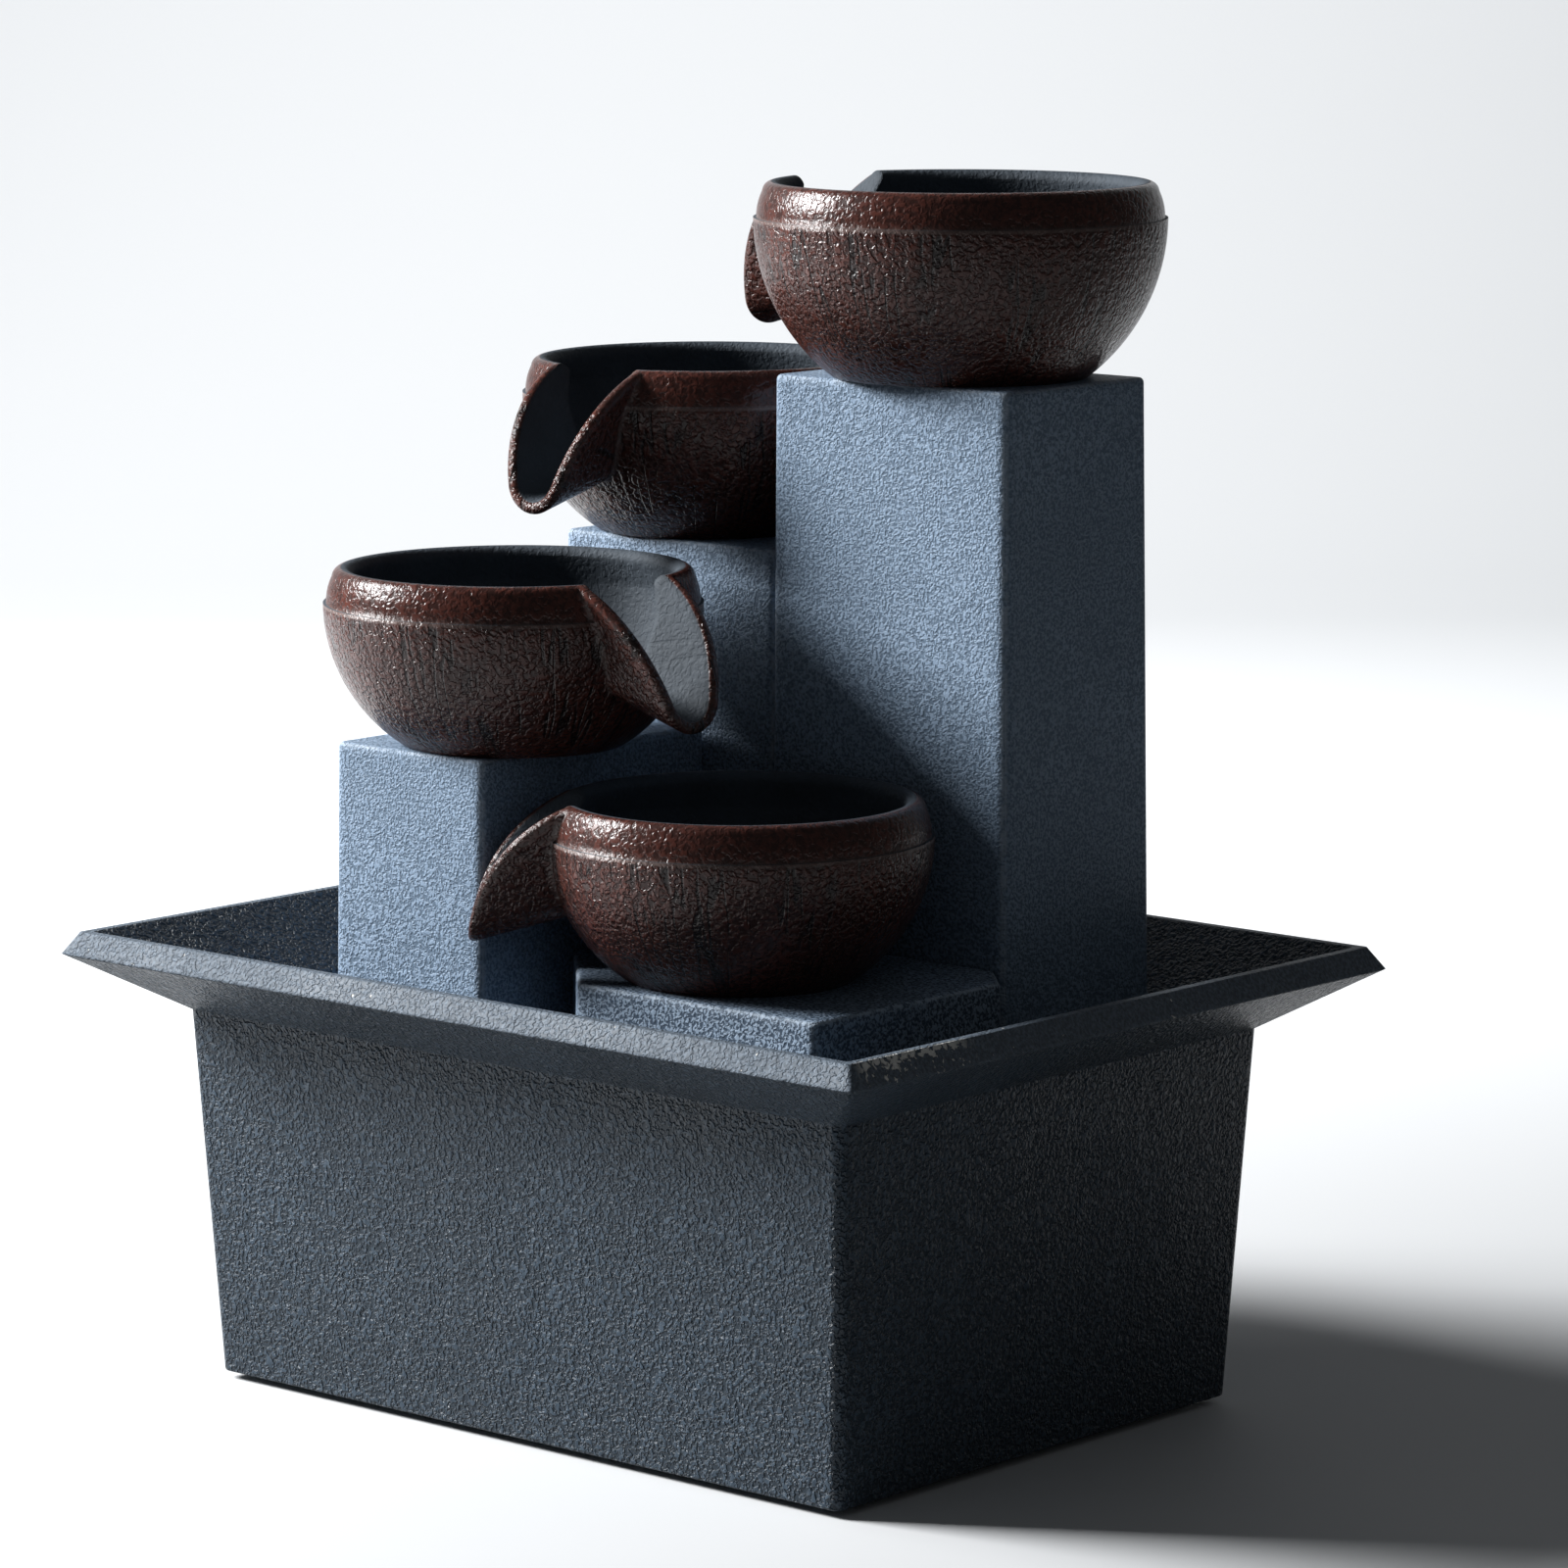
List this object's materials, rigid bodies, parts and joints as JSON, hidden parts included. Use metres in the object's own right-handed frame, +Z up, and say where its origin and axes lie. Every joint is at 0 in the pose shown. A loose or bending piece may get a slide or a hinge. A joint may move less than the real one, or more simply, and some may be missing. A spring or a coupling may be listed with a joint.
{
  "type": "tabletop water fountain",
  "caption": "Tabletop water fountain: round bowls with pouring spouts stand on a stair of square pillars over a flared basin, and a pump lifts the water to the top bowl.",
  "frame": {"origin": "on the table under the middle of the basin", "axes": "+Z up, -Y towards the front, where the low bowl and the third bowl stand, +X to the viewer's right"},
  "size_m": [0.21, 0.163, 0.2431],
  "materials": {
    "basin_plastic": "charcoal black with a moulded leather grain",
    "pillar_plastic": "slate blue-grey with a fine mottled grain",
    "bowl_plastic": "dark reddish brown outside with a pebbled bark grain, charcoal inside",
    "deck_plastic": "matt charcoal",
    "soft_rubber": "matt black",
    "steel": "plain stainless",
    "fitting_plastic": "satin black",
    "tube_vinyl": "cloudy clear vinyl",
    "pump_plastic": "satin black",
    "ferrite": "dull grey ferrite"
  },
  "bodies": {
    "basin": {"basin": "basin_plastic", "foot_pads": "soft_rubber", "pump_housing": "pump_plastic", "suction_cups": "soft_rubber", "volute_cover": "pump_plastic", "volute_seal": "soft_rubber", "impeller_shaft": "steel", "shaft_bushes": "soft_rubber"},
    "rotor": {"rotor_magnet": "ferrite", "impeller_wheel": "fitting_plastic"},
    "strainer": {"intake_strainer": "pump_plastic"},
    "dial": {"flow_dial": "fitting_plastic"},
    "cascade": {"deck": "deck_plastic", "pillar_screws": "steel", "tall_pillar": "pillar_plastic", "second_pillar": "pillar_plastic", "third_pillar": "pillar_plastic", "low_platform": "pillar_plastic", "top_bowl": "bowl_plastic", "second_bowl": "bowl_plastic", "third_bowl": "bowl_plastic", "low_bowl": "bowl_plastic", "bowl_nuts": "fitting_plastic", "nozzle": "fitting_plastic", "nozzle_seal": "soft_rubber", "nozzle_nut": "fitting_plastic", "riser_tube": "tube_vinyl"}
  },
  "joints": [
    {"name": "rotor_spin", "type": "hinge", "parent": "basin", "child": "rotor", "pos_m": [0.0347, 0.03255, 0.0215], "axis": [1, 0, 0], "continuous": true},
    {"name": "strainer_pull", "type": "slide", "parent": "basin", "child": "strainer", "axis": [1, 0, 0], "range_m": [0, 0.008]},
    {"name": "dial_turn", "type": "hinge", "parent": "strainer", "child": "dial", "pos_m": [0.0537, 0.03255, 0.0215], "axis": [1, 0, 0], "range_deg": [0, 45]},
    {"name": "cascade_lift", "type": "slide", "parent": "basin", "child": "cascade", "axis": [0, 0, 1], "range_m": [0, 0.1]}
  ]
}
